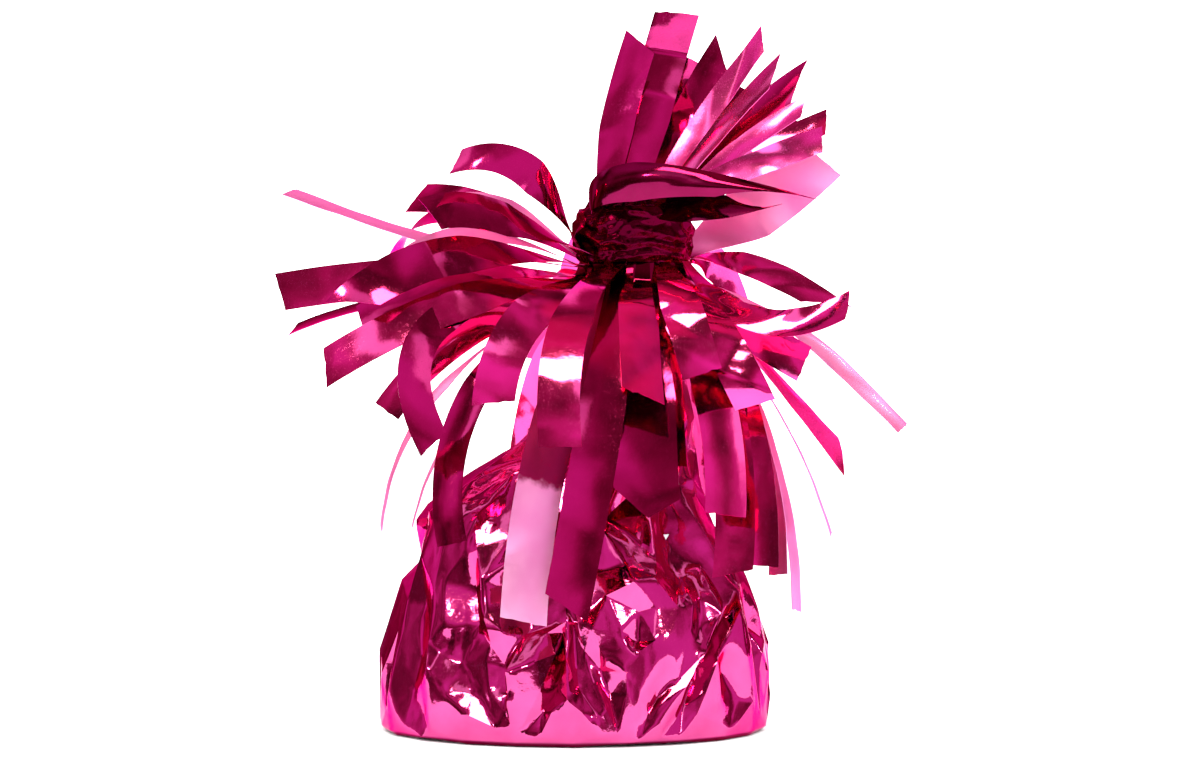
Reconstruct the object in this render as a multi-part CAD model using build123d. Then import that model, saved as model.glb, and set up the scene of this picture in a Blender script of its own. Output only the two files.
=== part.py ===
from build123d import *
import math
import os

# A foil balloon weight: a tub of cast cement closed by a card disc, wrapped in a sheet of metallised
# film that is gathered above it, tied with wire, bound with a band of the same film, and dressed with
# a hanging skirt and a leaning plume of film strips.
# Millimetres, +Z up, -Y towards the viewer, origin at the centre of the face that it stands on.

# Sheet goods and fits
FILM = 0.3
FIT_GAP = 0.3
CUT_OVERRUN = 2.0

# Ballast: card disc, tub and cement
CARD_THICKNESS = 0.9
TUB_MOUTH_RADIUS = 28.9
TUB_TOP_RADIUS = 22.4
TUB_HEIGHT = 32.0
TUB_WALL = 0.8
TUB_RIM_WIDTH = 1.3
TUB_RIM_THICKNESS = 0.8

# Film wrap round the ballast, and the gathered stem above it
WRAP_SLACK = 2.3
SHOULDER_SLACK = 2.8
SHOULDER_RISE = 13.8
WRAP_PLEAT = 0.9
PLEAT_COUNT = 13
NECK_OFFSET = 10.0
STEM_BASE_RADIUS = 13.4
STEM_PLEAT = 1.1

# Neck: fringe header, tie wire and binding band
NECK_RADIUS = 6.4
HEADER_WALL = 1.7
HEADER_HEIGHT = 5.7
HEADER_RISE = 26.4
WIRE_DIAMETER = 1.0
WIRE_TURNS = 3
WIRE_PITCH = 1.45
WIRE_POINTS_PER_TURN = 60
BAND_RADIUS = 8.2
BAND_WALL = 0.5
BAND_HEIGHT = 5.8
BAND_TAB_ANGLE = 70.0

# Plume root, the uncut foot of the plume that leans on the neck
ROOT_FOOT_RADIUS = 4.5
ROOT_RADIUS = 7.4
ROOT_CONE_RISE = 1.8
ROOT_HEIGHT = 4.4
ROOT_CORNERS = 20
KNOT_RADIUS = 1.3

# Film strips, and the front view that their points are read in
STRIP_WIDTH = 6.6
STRIP_SPANS = 6
VIEW_DISTANCE_PIXEL_COUNT = 3333.3
EYE_COLUMN = 600
EYE_ROW = 388
NECK_COLUMN = 633
HEADER_TOP_ROW = 257
PLUME_FOOT_ROW = 196.29
HEADER_TOP_PIXEL_COUNT = 470.83
WRAP_RADII_PIXEL_COUNT = 343.45
ROOT_RADIUS_PIXEL_COUNT = 44.05
SKIRT_FOOT_SHARE = 0.34
STRIP_TAPER_SHARE = 0.45
PLUME_FOOT_SHARE = 0.6
PLUME_STRIP_SINK = 0.6
PLUME_FRONT_COUNT = 11

# Height share, share of the way in to the shoulder, share of the way from there to the stem, lean share
# and pleat share of each section of the wrap
WRAP_SECTION_SHARES = [
    (0.000, 0.178, 0.000, 0.00, 0.1),
    (0.100, 0.000, 0.000, 0.00, 0.3),
    (0.320, 0.134, 0.000, 0.03, 0.6),
    (0.540, 0.490, 0.000, 0.05, 0.8),
    (0.755, 1.000, 0.000, 0.10, 1.0),
    (0.900, 1.000, 0.483, 0.34, 1.0),
    (1.000, 1.000, 1.000, 0.62, 0.8),
]
# Height share, taper share (1 at the wide foot, 0 at the neck), lean share and pleat share of the stem
STEM_SECTION_SHARES = [
    (0.00, 1.00, 0.62, 0.7),
    (0.22, 0.56, 0.82, 1.0),
    (0.44, 0.20, 0.96, 0.7),
    (0.56, 0.00, 1.00, 0.0),
    (1.00, 0.00, 1.00, 0.0),
]

# Skirt strips, tuft by tuft. Each strip starts on the header at an azimuth in degrees, where 0 is +X and
# 270 is towards the viewer, and at a height share of the header. Its middle and its tip are pixel columns,
# rows and depths of a front view. From its foot, which lies flat on the header, it rolls and then twists
# by angles in degrees from the square to the plane of its bend.
SKIRT_STRIP_PIXELS = {
    "left": [
        ((197, 0.95), (528, 172, -70), (455, 163, -110), 40, 15),
        ((160, 0.95), (490, 212, 45), (416, 198, 110), 10, 0),
        ((178, 0.95), (500, 206, 0), (428, 206, 10), 30, 10),
        ((216, 0.95), (500, 214, -75), (430, 214, -110), 15, 0),
        ((142, 0.95), (452, 214, 90), (393, 264, 120), 20, 0),
        ((169, 0.70), (436, 240, 40), (289, 192, 50), 4, 0),
        ((187, 0.70), (458, 236, -18), (368, 294, -30), 24, 10),
        ((169, 0.45), (425, 276, 12), (280, 292, 50), 0, 10),
        ((206, 0.70), (452, 256, -95), (352, 302, -120), 46, 0),
        ((187, 0.45), (462, 280, -46), (360, 320, -50), 0, 0),
        ((151, 0.45), (430, 290, 80), (292, 330, 90), 0, 12),
        ((196, 0.34), (455, 304, -100), (325, 368, -110), 34, 10),
        ((178, 0.22), (470, 330, -40), (386, 411, -36), 0, 0),
        ((214, 0.14), (448, 326, -155), (433, 444, -160), 50, 0),
        ((167, 0.05), (436, 395, 24), (381, 526, 30), 10, 0),
        ((151, 0.05), (466, 412, 70), (413, 526, 75), 10, 0),
        ((197, 0.05), (478, 402, -128), (452, 544, -128), 40, 0),
    ],
    "front": [
        ((231, 0.45), (525, 320, -150), (493, 403, -180), 0, 0),
        ((249, 0.70), (568, 330, -190), (560, 447, -240), 0, 0),
        ((240, 0.05), (550, 432, -200), (523, 622, -205), 0, 0),
        ((256, 0.45), (600, 420, -220), (566, 608, -235), 0, 0),
        ((276, 0.22), (638, 312, -104), (643, 395, -170), 0, 0),
        ((280, 0.05), (643, 410, -135), (648, 518, -165), 0, 0),
        ((298, 0.05), (662, 366, -88), (668, 466, -110), 0, 0),
    ],
    "front_right": [
        ((305, 0.70), (682, 308, -115), (702, 374, -150), 0, 0),
        ((322, 0.45), (716, 332, -112), (755, 405, -140), 0, 20),
        ((312, 0.22), (714, 396, -120), (725, 515, -146), 0, 0),
        ((327, 0.02), (726, 420, -104), (732, 574, -116), 10, 0),
        ((345, 0.10), (742, 420, -72), (758, 566, -78), 0, 0),
        ((338, 0.95), (756, 320, -90), (848, 305, -110), 50, 0),
        ((348, 0.70), (732, 316, -30), (804, 364, -40), 0, 0),
    ],
    "right": [
        ((8, 0.95), (750, 262, 24), (825, 303, 30), 40, 0),
        ((4, 0.45), (792, 330, 0), (903, 428, 0), 12, 0),
        ((22, 0.45), (766, 366, 60), (842, 456, 66), 20, 60),
        ((32, 0.95), (752, 204, 110), (818, 154, 120), 0, 0),
        ((0, 0.05), (752, 420, -26), (776, 575, -28), 10, 0),
        ((16, 0.05), (766, 430, 20), (797, 611, 22), 10, 0),
        ((32, 0.05), (772, 402, 72), (830, 535, 78), 10, 0),
    ],
    "back": [
        ((48, 0.70), (712, 262, 110), (742, 322, 160), 0, 0),
        ((84, 0.95), (655, 232, 130), (668, 268, 230), 0, 0),
        ((66, 0.45), (688, 300, 120), (706, 380, 170), 0, 0),
        ((48, 0.05), (718, 372, 120), (736, 492, 140), 0, 0),
        ((76, 0.05), (678, 392, 150), (690, 530, 190), 0, 0),
        ((112, 0.95), (590, 240, 130), (568, 300, 220), 0, 0),
        ((126, 0.45), (566, 290, 120), (536, 360, 180), 0, 0),
        ((98, 0.45), (622, 300, 130), (612, 390, 190), 0, 0),
        ((104, 0.05), (610, 390, 160), (600, 520, 210), 0, 0),
        ((132, 0.05), (546, 372, 140), (526, 470, 180), 0, 0),
    ],
}
# Plume strips, front to back. The foot of each is a pixel column and depth on top of the root, and the
# other columns are as above.
PLUME_STRIP_PIXELS = [
    ((596, -38), (655, 176, -84), (768, 192, -115), 70, 0),
    ((642, -32), (694, 180, -64), (754, 200, -84), 30, 0),
    ((668, -27), (745, 168, -54), (822, 140, -58), 0, 0),
    ((606, -22), (618, 122, -46), (640, 42, -40), 30, 0),
    ((676, -20), (737, 150, -38), (803, 106, -38), 0, 0),
    ((650, -12), (704, 118, -24), (762, 38, -24), 5, 0),
    ((672, -4), (748, 158, -14), (826, 122, -4), 0, 0),
    ((628, -2), (650, 108, -12), (677, 17, -2), 0, 0),
    ((662, 3), (716, 134, 14), (774, 72, 6), 0, 0),
    ((645, 8), (681, 127, 22), (722, 56, 20), 0, 0),
    ((668, 14), (728, 138, 32), (797, 84, 30), 0, 5),
    ((640, 21), (668, 130, 42), (700, 64, 44), 0, 0),
    ((676, 27), (740, 162, 54), (806, 132, 62), 0, 0),
    ((655, 33), (700, 145, 64), (748, 92, 74), 0, 0),
    ((630, 33), (642, 140, 64), (655, 80, 70), 0, 0),
    ((664, 39), (716, 152, 80), (766, 112, 90), 0, 0),
]

# Heights and radii that follow from the sizes above
CARD_BASE = FILM
TUB_BASE = CARD_BASE + CARD_THICKNESS
TUB_TOP = TUB_BASE + TUB_HEIGHT
CARD_RADIUS = TUB_MOUTH_RADIUS + TUB_RIM_WIDTH
WRAP_RADIUS = CARD_RADIUS + WRAP_SLACK
SHOULDER_RADIUS = TUB_TOP_RADIUS + SHOULDER_SLACK
WRAP_HEIGHT = TUB_TOP + SHOULDER_RISE
HEADER_BASE = WRAP_HEIGHT + HEADER_RISE
HEADER_INNER = NECK_RADIUS + FIT_GAP
HEADER_RADIUS = HEADER_INNER + HEADER_WALL
HEADER_TOP = HEADER_BASE + HEADER_HEIGHT
BAND_BASE = HEADER_TOP + FIT_GAP
WIRE_RADIUS = WIRE_DIAMETER / 2
WIRE_CENTRE_RADIUS = (NECK_RADIUS + BAND_RADIUS - BAND_WALL) / 2
FOOT_RADIUS = HEADER_RADIUS + FIT_GAP + FILM
PIVOT_HEIGHT = BAND_BASE + BAND_HEIGHT + FIT_GAP
STEM_TOP = PIVOT_HEIGHT - FIT_GAP - KNOT_RADIUS
STEM_HEIGHT = STEM_TOP - WRAP_HEIGHT
PLUME_FOOT_LEVEL = PIVOT_HEIGHT + ROOT_HEIGHT - PLUME_STRIP_SINK
# Millimetres in a pixel of the front view, across and up, and in a pixel of the plume's foot
PIXEL_ACROSS = (WRAP_RADIUS + SHOULDER_RADIUS) / WRAP_RADII_PIXEL_COUNT
PIXEL_UP = HEADER_TOP / HEADER_TOP_PIXEL_COUNT
PIXEL_ROOT = ROOT_RADIUS / ROOT_RADIUS_PIXEL_COUNT


def polar(angle, radius, height, centre_x=0):
    """A point at an angle in degrees about a vertical line through centre_x."""
    turn = math.radians(angle)
    return Vector(centre_x + radius * math.cos(turn), radius * math.sin(turn), height)


def pleated_ring(radius, height, centre_x, pleat):
    """A closed outline whose corners go in and out by the depth of the pleats."""
    corners = 2 * PLEAT_COUNT
    points = []
    for corner in range(corners):
        fold = pleat * (corner % 2)
        points.append(polar(360 * corner / corners, radius - fold, height, centre_x))
    return Wire.make_polygon(points, close=True)


def ring(outer, inner, base, height, centre_x):
    """A plain tube standing at base on a vertical line through centre_x."""
    outline = Circle(outer) - Circle(inner)
    return Pos(centre_x, 0, base) * extrude(outline, height)


# Ballast
def base_card():
    return Pos(0, 0, CARD_BASE) * extrude(Circle(CARD_RADIUS), CARD_THICKNESS)


def tub_cavity():
    """The inside of the tub, from its open mouth to its closed top."""
    depth = TUB_HEIGHT - TUB_WALL
    cone = Cone(TUB_MOUTH_RADIUS - TUB_WALL, TUB_TOP_RADIUS - TUB_WALL, depth,
                align=(Align.CENTER, Align.CENTER, Align.MIN))
    return Pos(0, 0, TUB_BASE) * cone


def ballast_tub():
    wall = Cone(TUB_MOUTH_RADIUS, TUB_TOP_RADIUS, TUB_HEIGHT,
                align=(Align.CENTER, Align.CENTER, Align.MIN))
    rim = extrude(Circle(TUB_MOUTH_RADIUS + TUB_RIM_WIDTH), TUB_RIM_THICKNESS)
    return Pos(0, 0, TUB_BASE) * (wall + rim) - tub_cavity()


# Wrap and stem
def wrap_loft(inset):
    """The wrap's outside, or its inside when it is taken in by an inset."""
    sections = []
    for height, shoulder, stem, lean, pleat in WRAP_SECTION_SHARES:
        level = max(height * WRAP_HEIGHT, inset)
        radius = WRAP_RADIUS + shoulder * (SHOULDER_RADIUS - WRAP_RADIUS)
        radius += stem * (STEM_BASE_RADIUS - SHOULDER_RADIUS)
        sections.append(pleated_ring(radius - inset, level, lean * NECK_OFFSET, pleat * WRAP_PLEAT))
    return Solid.make_loft(sections, ruled=True)


def foil_wrap():
    return wrap_loft(0) - wrap_loft(FILM)


def gathered_stem():
    sections = []
    for height, taper, lean, pleat in STEM_SECTION_SHARES:
        radius = NECK_RADIUS + taper * (STEM_BASE_RADIUS - NECK_RADIUS)
        level = WRAP_HEIGHT + height * STEM_HEIGHT
        sections.append(pleated_ring(radius, level, lean * NECK_OFFSET, pleat * STEM_PLEAT))
    return Solid.make_loft(sections, ruled=True)


# Neck
def fringe_header():
    return ring(HEADER_RADIUS, HEADER_INNER, HEADER_BASE, HEADER_HEIGHT, NECK_OFFSET)


def binding_band():
    """A band of film round the neck, with the overlap of its free end on the back."""
    band = ring(BAND_RADIUS, BAND_RADIUS - BAND_WALL, BAND_BASE, BAND_HEIGHT, NECK_OFFSET)
    lap = ring(BAND_RADIUS + FILM, BAND_RADIUS - BAND_WALL / 2, BAND_BASE, BAND_HEIGHT, NECK_OFFSET)
    reach = BAND_RADIUS + CUT_OVERRUN
    wedge = Polyline(
        (0, 0),
        (reach, 0),
        (reach * math.cos(math.radians(BAND_TAB_ANGLE)), reach * math.sin(math.radians(BAND_TAB_ANGLE))),
        close=True,
    )
    slice_of_lap = Pos(NECK_OFFSET, 0, BAND_BASE) * extrude(make_face(wedge), BAND_HEIGHT)
    return band + (lap & slice_of_lap)


def biarc(start, start_direction, end, end_direction):
    """Two arcs that join two points of a winding and share its directions there."""
    chord = end - start
    both = start_direction + end_direction
    turn = 2 * (1 - start_direction.dot(end_direction))
    along = chord.dot(both)
    reach = (math.sqrt(along**2 + turn * chord.dot(chord)) - along) / turn
    first = start + start_direction * reach
    second = end - end_direction * reach
    middle = (first + second) / 2
    return [
        TangentArc(start, middle, tangent=start_direction),
        TangentArc(middle, end, tangent=second - first),
    ]


def least_turn_gap(path):
    """The least clear space between the turns of a winding, measured on points along it."""
    half_turn = WIRE_POINTS_PER_TURN // 2
    count = WIRE_TURNS * WIRE_POINTS_PER_TURN
    points = [path @ (number / count) for number in range(count + 1)]
    distances = []
    for number, point in enumerate(points):
        distances += [(later - point).length for later in points[number + half_turn:]]
    return min(distances) - WIRE_DIAMETER


def tie_wire():
    """A wire wound round the neck under the band, with straight ends."""
    quarter = 90
    steps = WIRE_TURNS * 360 // quarter
    base = BAND_BASE + (BAND_HEIGHT - WIRE_TURNS * WIRE_PITCH) / 2
    climb = WIRE_PITCH / (2 * math.pi * WIRE_CENTRE_RADIUS)
    points = []
    directions = []
    for step in range(steps + 1):
        angle = step * quarter
        points.append(polar(angle, WIRE_CENTRE_RADIUS, base + WIRE_PITCH * angle / 360, NECK_OFFSET))
        turn = math.radians(angle)
        directions.append(Vector(-math.sin(turn), math.cos(turn), climb).normalized())
    edges = [Line(points[0] - directions[0] * WIRE_DIAMETER, points[0])]
    for step in range(steps):
        edges += biarc(points[step], directions[step], points[step + 1], directions[step + 1])
    edges.append(Line(points[-1], points[-1] + directions[-1] * WIRE_DIAMETER))
    path = Wire(edges)
    section = Plane(path @ 0, z_dir=path % 0) * Circle(WIRE_RADIUS)
    print("tie wire: least gap between turns", round(least_turn_gap(path), 3))
    return sweep(section, path)


# Strips
def turned(vector, axis, degrees):
    return vector.rotate(Axis((0, 0, 0), axis), degrees)


def seen(column, row, depth, level, level_row):
    """The point at a pixel column, row and depth of the front view, which has a level at level_row."""
    spread = 1 + depth / VIEW_DISTANCE_PIXEL_COUNT
    across = (column - EYE_COLUMN) * spread - (NECK_COLUMN - EYE_COLUMN)
    up = (EYE_ROW - row) * spread - (EYE_ROW - level_row)
    return Vector(NECK_OFFSET + across * PIXEL_ACROSS, depth * PIXEL_ACROSS, level + up * PIXEL_UP)


def strip_solid(foot, foot_across, middle, tip, roll, twist, foot_share):
    """A thin strip from its foot through its middle to its tip, turned from flat on what carries it."""
    control = middle * 2 - (foot + tip) / 2
    square = (middle - foot).cross(tip - foot).normalized()
    foot_across = foot_across or square
    outlines = []
    for station in range(STRIP_SPANS + 1):
        share = station / STRIP_SPANS
        rest = 1 - share
        place = foot * rest**2 + control * (2 * rest * share) + tip * share**2
        along = ((control - foot) * rest + (tip - control) * share).normalized()
        across = turned(square, along, roll + twist * share)
        if station == 0 and across.dot(foot_across) < 0:
            foot_across = foot_across * -1
        settled = min(1, share / STRIP_TAPER_SHARE)
        across = across * settled + foot_across * (1 - settled)
        across = (across - along * across.dot(along)).normalized()
        half_width = across * (STRIP_WIDTH / 2 * (foot_share + (1 - foot_share) * settled))
        half_film = along.cross(across) * (FILM / 2)
        corners = [half_width + half_film, half_film - half_width,
                   (half_width + half_film) * -1, half_width - half_film]
        outlines.append(Wire.make_polygon([place + corner for corner in corners], close=True))
    return Solid.make_loft(outlines, ruled=True)


def skirt_strip(foot, middle, tip, roll, twist):
    azimuth, height_share = foot
    start = polar(azimuth, FOOT_RADIUS, HEADER_BASE + height_share * HEADER_HEIGHT, NECK_OFFSET)
    flat = polar(azimuth + 90, 1, 0)
    bend = seen(*middle, HEADER_TOP, HEADER_TOP_ROW)
    end = seen(*tip, HEADER_TOP, HEADER_TOP_ROW)
    return strip_solid(start, flat, bend, end, roll, twist, SKIRT_FOOT_SHARE)


# Plume
def root_ring(radius, rise):
    """A many-sided outline across the plume's foot, at a rise above the pivot."""
    points = []
    for corner in range(ROOT_CORNERS):
        points.append(polar(360 * corner / ROOT_CORNERS, radius, PIVOT_HEIGHT + rise, NECK_OFFSET))
    return Wire.make_polygon(points, close=True)


def plume_root(strips):
    """The bundle that holds the plume's strips in slots, with a round knot that rocks on the stem."""
    bundle = Solid.make_loft([
        root_ring(ROOT_FOOT_RADIUS, 0),
        root_ring(ROOT_RADIUS, ROOT_CONE_RISE),
        root_ring(ROOT_RADIUS, ROOT_HEIGHT),
    ], ruled=True)
    knot = Pos(NECK_OFFSET, 0, PIVOT_HEIGHT) * Sphere(KNOT_RADIUS)
    return bundle + knot - strips


def plume_strip(foot, middle, tip, roll, twist):
    """One strip of the plume. The strips stand behind each other in the top of the root."""
    column, depth = foot
    start_x = NECK_OFFSET + (column - NECK_COLUMN) * PIXEL_ROOT
    start = Vector(start_x, depth * PIXEL_ROOT, PLUME_FOOT_LEVEL)
    bend = seen(*middle, PLUME_FOOT_LEVEL, PLUME_FOOT_ROW)
    end = seen(*tip, PLUME_FOOT_LEVEL, PLUME_FOOT_ROW)
    return strip_solid(start, None, bend, end, roll, twist, PLUME_FOOT_SHARE)


def save(node, shape):
    export_step(shape, os.path.join("parts", node + ".step"))


def save_strips(stem, solids, joined_from):
    """Save each strip as its own node, but those at and after joined_from as one node of separate solids."""
    for number, solid in enumerate(solids[:joined_from], 1):
        save(f"{stem}_strip_{number}", solid)
    if joined_from < len(solids):
        save(f"{stem}_rear_strips", Compound(children=solids[joined_from:]))


def main():
    os.makedirs("parts", exist_ok=True)
    save("base_card", base_card())
    save("ballast_tub", ballast_tub())
    save("cement_fill", tub_cavity())
    save("foil_wrap", foil_wrap())
    save("gathered_stem", gathered_stem())
    save("fringe_header", fringe_header())
    save("tie_wire", tie_wire())
    save("binding_band", binding_band())
    for tuft, strips in SKIRT_STRIP_PIXELS.items():
        joined_from = 0 if tuft == "back" else len(strips)
        save_strips(f"skirt_{tuft}", [skirt_strip(*strip) for strip in strips], joined_from)
    plume_strips = [plume_strip(*strip) for strip in PLUME_STRIP_PIXELS]
    save("plume_root", plume_root(plume_strips))
    save_strips("plume", plume_strips, PLUME_FRONT_COUNT)


main()
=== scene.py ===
import math
import random

import bpy
import numpy as np
from mathutils import Matrix, Vector, noise
from mathutils.geometry import delaunay_2d_cdt


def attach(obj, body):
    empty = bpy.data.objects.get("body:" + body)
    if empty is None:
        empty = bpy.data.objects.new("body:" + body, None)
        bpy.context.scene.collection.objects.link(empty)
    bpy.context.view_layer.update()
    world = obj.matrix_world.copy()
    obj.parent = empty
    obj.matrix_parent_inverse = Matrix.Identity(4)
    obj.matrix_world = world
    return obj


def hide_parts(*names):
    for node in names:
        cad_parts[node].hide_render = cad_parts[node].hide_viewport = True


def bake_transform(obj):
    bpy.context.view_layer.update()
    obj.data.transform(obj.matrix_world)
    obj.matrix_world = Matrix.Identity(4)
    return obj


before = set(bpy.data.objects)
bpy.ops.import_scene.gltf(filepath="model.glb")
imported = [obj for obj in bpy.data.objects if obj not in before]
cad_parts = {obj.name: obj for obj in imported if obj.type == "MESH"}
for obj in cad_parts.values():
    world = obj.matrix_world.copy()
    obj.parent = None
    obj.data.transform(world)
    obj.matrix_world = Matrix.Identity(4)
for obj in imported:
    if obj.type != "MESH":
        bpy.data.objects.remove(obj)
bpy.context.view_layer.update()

# A foil balloon weight, dressed: one sheet of magenta film gathered over the ballast, a film band round
# its neck, a skirt of film strips that hang and spring out below the band, and a plume that leans out of
# its top. Sizes are millimetres until they go into a mesh or a finish; the studio is in metres.
MM = 0.001

# The front view that the points of the strips and folds are read in: what a pixel spans at the neck, how
# far off the eye is, the column and row that it looks straight at, those of the neck at the header's top,
# and the eye's place
PIXEL = 0.168
VIEW_DISTANCE = 560.0
EYE_COLUMN, EYE_ROW = 600, 388
NECK_COLUMN, HEADER_TOP_ROW = 633, 257
EYE_X, EYE_HEIGHT = 4.4, 57.0
EYE = Vector((EYE_X, -VIEW_DISTANCE, EYE_HEIGHT))

# Neck
NECK_OFFSET = 10.0
HEADER_BASE, HEADER_HEIGHT = 73.4, 5.7
HEADER_TOP = HEADER_BASE + HEADER_HEIGHT
SKIRT_FOOT_RADIUS = 9.0
SKIRT_ROOT_RADIUS, SKIRT_ROOT_HEIGHT = 7.5, 80.0
PLUME_FOOT_HEIGHT, PLUME_ROOT_DEPTH = 88.2, 1.6

# Strips: each runs from its hidden root to its foot over the root share of its grid, and widens from the
# foot share of its width to all of it over the taper share of its curve
STRIP_WIDTH = 6.6
FILM_THICKNESS = 0.1
STRIP_STATIONS, STRIP_LINES = 56, 8
STRIP_ROOT_SHARE, STRIP_TAPER_SHARE = 0.06, 0.45
SKIRT_FOOT_SHARE, PLUME_FOOT_SHARE = 0.55, 0.6
STRIP_SMOOTH_ANGLE = 50
# Share along a skirt strip's curve at which shape_strip also gives back a point, which the skirt does not use
STRIP_FREE_SHARE = 0.4
# A strip whose width direction is steeper than this springs out sideways, and tips its face up by some
# degrees
SIDEWAYS_STEEPNESS, STRIP_LIFT = 0.3, 9
# What is drawn by chance for a strip where its row says nothing else: the slant of its tip in degrees, the
# depth of its cup, and the number, places, sizes and skews of its kinks
CUT_SLANT = 20
CUP_DEPTHS = (0.08, 0.3)
KINK_COUNTS, KINK_PLACES, KINK_SIZE, KINK_SKEW = (1, 3), (0.3, 0.9), 0.5, 0.15
# Reach of a kink as a share of the length, and the square of the share across at which a cup is level
KINK_REACH, CUP_LEVEL = 0.22, 0.33
# Height and length of the crinkles, raggedness of the tip, and the steps in the noise from strip to strip
STRIP_CRINKLES = ((0.13, 5.5), (0.03, 2.2))
TIP_RAGGEDNESS, TIP_TEETH = 0.25, 3
CRINKLE_STEP_ALONG, CRINKLE_STEP_ACROSS = 3.1, 1.7

# Skirt strips, tuft by tuft: where the foot sits on the header (azimuth in degrees, share of its height),
# the middle and the tip as columns, rows and depths of the front view, how far the strip is turned from
# flat-on to that view and twisted, in degrees, and how it is cut and creased where it differs from the rest.
# Tones besides face: deep and shade are painted shade, and light, pale and half pale are painted highlight
SKIRT_STRIPS = {
    "left": [
        ((197, 0.95), (528, 172, -70), (455, 163, -110), 10, 15,
         {"width": 7.2, "narrow": 0.45, "cut": 30, "tone": "deep_shade"}),
        ((160, 0.95), (490, 212, 45), (416, 198, 110), 20, 0, {"cut": 5}),
        ((178, 0.95), (500, 206, 0), (428, 206, 10), 48, 10, {"tone": "pale"}),
        ((216, 0.95), (500, 216, -75), (430, 214, -110), -45, 0, {"tone": "deep_shade"}),
        ((142, 0.95), (452, 214, 90), (393, 264, 120), 58, 0, {}),
        ((169, 0.70), (436, 240, 40), (289, 192, 50), 66, 0, {"width": 6.0, "tone": "pale"}),
        ((187, 0.70), (458, 236, -18), (368, 294, -30), 48, 10, {"tone": "pale"}),
        ((169, 0.45), (425, 276, 12), (280, 292, 50), 0, 0, {"cut": -12}),
        ((206, 0.70), (452, 256, -95), (352, 302, -120), 18, 0, {"width": 7.2, "cut": -48, "tone": "deep_shade"}),
        ((187, 0.45), (462, 280, -46), (360, 320, -50), 40, 0, {"tone": "deep_shade"}),
        ((151, 0.45), (430, 290, 80), (292, 330, 90), 45, 12, {"width": 3.4, "cut": 40}),
        ((196, 0.34), (455, 304, -100), (325, 368, -110), 12, 10, {"cut": 18}),
        ((178, 0.22), (470, 330, -40), (386, 411, -36), 25, 0, {"width": 5.8, "cut": -8}),
        ((214, 0.14), (434, 326, -116), (433, 444, -160), 0, 0, {"width": 5.4, "tone": "deep_shade"}),
        ((167, 0.05), (436, 395, 24), (381, 526, 30), 72, 0, {"width": 6.0, "tone": "pale"}),
        ((151, 0.05), (466, 412, 70), (413, 526, 75), 74, 0, {"tone": "pale"}),
        ((197, 0.05), (470, 402, -88), (452, 544, -128), 10, 0, {"width": 5.0, "tone": "deep_shade"}),
    ],
    "front": [
        ((231, 0.45), (525, 320, -138), (493, 403, -180), 0, 0, {"width": 6.8}),
        ((249, 0.70), (568, 330, -180), (560, 447, -240), 17, 0, {"width": 6.8, "kinks": [], "cup": 0.08}),
        ((248, 0.05), (552, 432, -162), (523, 622, -205), 0, 0,
         {"width": 7.4, "cut": 8, "tone": "half_pale_highlight"}),
        ((256, 0.45), (600, 420, -176), (566, 608, -235), 0, 0, {"width": 7.4, "cut": 22, "tone": "deep_shade"}),
        ((276, 0.22), (638, 312, -100), (643, 395, -170), -8, 0, {}),
        ((280, 0.05), (643, 410, -130), (648, 518, -165), 0, 0,
         {"width": 10.5, "point": 5.0, "tone": "deep_shade"}),
        ((298, 0.05), (662, 366, -84), (668, 466, -110), 25, 0, {}),
    ],
    "front_right": [
        ((305, 0.70), (682, 308, -115), (702, 374, -150), 0, 0, {}),
        ((322, 0.45), (716, 332, -112), (755, 405, -140), 15, 20,
         {"kinks": [(0.55, 0.7, 0.1), (0.7, -0.6, -0.1), (0.85, 0.8, 0.12)]}),
        ((312, 0.22), (714, 396, -104), (725, 515, -146), 0, 0, {}),
        ((327, 0.02), (726, 420, -86), (732, 574, -116), 8, 0, {}),
        ((345, 0.10), (742, 420, -56), (758, 566, -78), 0, 0, {}),
        ((338, 0.95), (756, 320, -90), (848, 305, -110), 25, 0, {"width": 5.4, "cut": 30}),
        ((348, 0.70), (732, 316, -30), (804, 364, -40), 0, 0, {"width": 6.2, "cut": -5}),
    ],
    "right": [
        ((8, 0.95), (750, 266, 24), (825, 303, 30), 30, 0, {"width": 5.2, "cut": 50}),
        ((4, 0.45), (792, 330, 0), (903, 428, 0), 58, 0, {"width": 5.6, "tone": "pale"}),
        ((22, 0.45), (766, 366, 60), (842, 456, 66), 80, -40, {"width": 5.0, "cut": 50, "tone": "light"}),
        ((32, 0.95), (755, 209, 110), (818, 156, 120), 0, 0, {"width": 10.4, "cut": -10, "tone": "pale"}),
        ((0, 0.05), (752, 420, -26), (776, 575, -28), 62, 0, {"tone": "pale"}),
        ((16, 0.05), (766, 430, 20), (797, 611, 22), 66, 0, {"tone": "pale"}),
        ((32, 0.05), (772, 402, 72), (830, 535, 78), 80, 0, {"width": 4.0, "tone": "pale"}),
    ],
    "back": [
        ((48, 0.70), (712, 262, 110), (742, 322, 160), 20, 0, {}),
        ((84, 0.95), (655, 232, 130), (668, 268, 230), 0, 0, {}),
        ((66, 0.45), (688, 300, 120), (706, 380, 170), 10, 0, {}),
        ((48, 0.05), (718, 372, 120), (736, 492, 140), 30, 0, {}),
        ((76, 0.05), (678, 392, 150), (690, 530, 190), 0, 0, {"tone": "deep_shade"}),
        ((112, 0.95), (590, 240, 130), (568, 300, 220), 0, 0, {}),
        ((126, 0.45), (566, 290, 120), (536, 360, 180), -20, 0, {"tone": "deep_shade"}),
        ((98, 0.45), (622, 300, 130), (612, 390, 190), 0, 0, {}),
        ((104, 0.05), (610, 390, 160), (600, 520, 210), 0, 0, {"tone": "pale"}),
        ((132, 0.05), (546, 372, 140), (526, 470, 180), -20, 0, {}),
    ],
}
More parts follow.
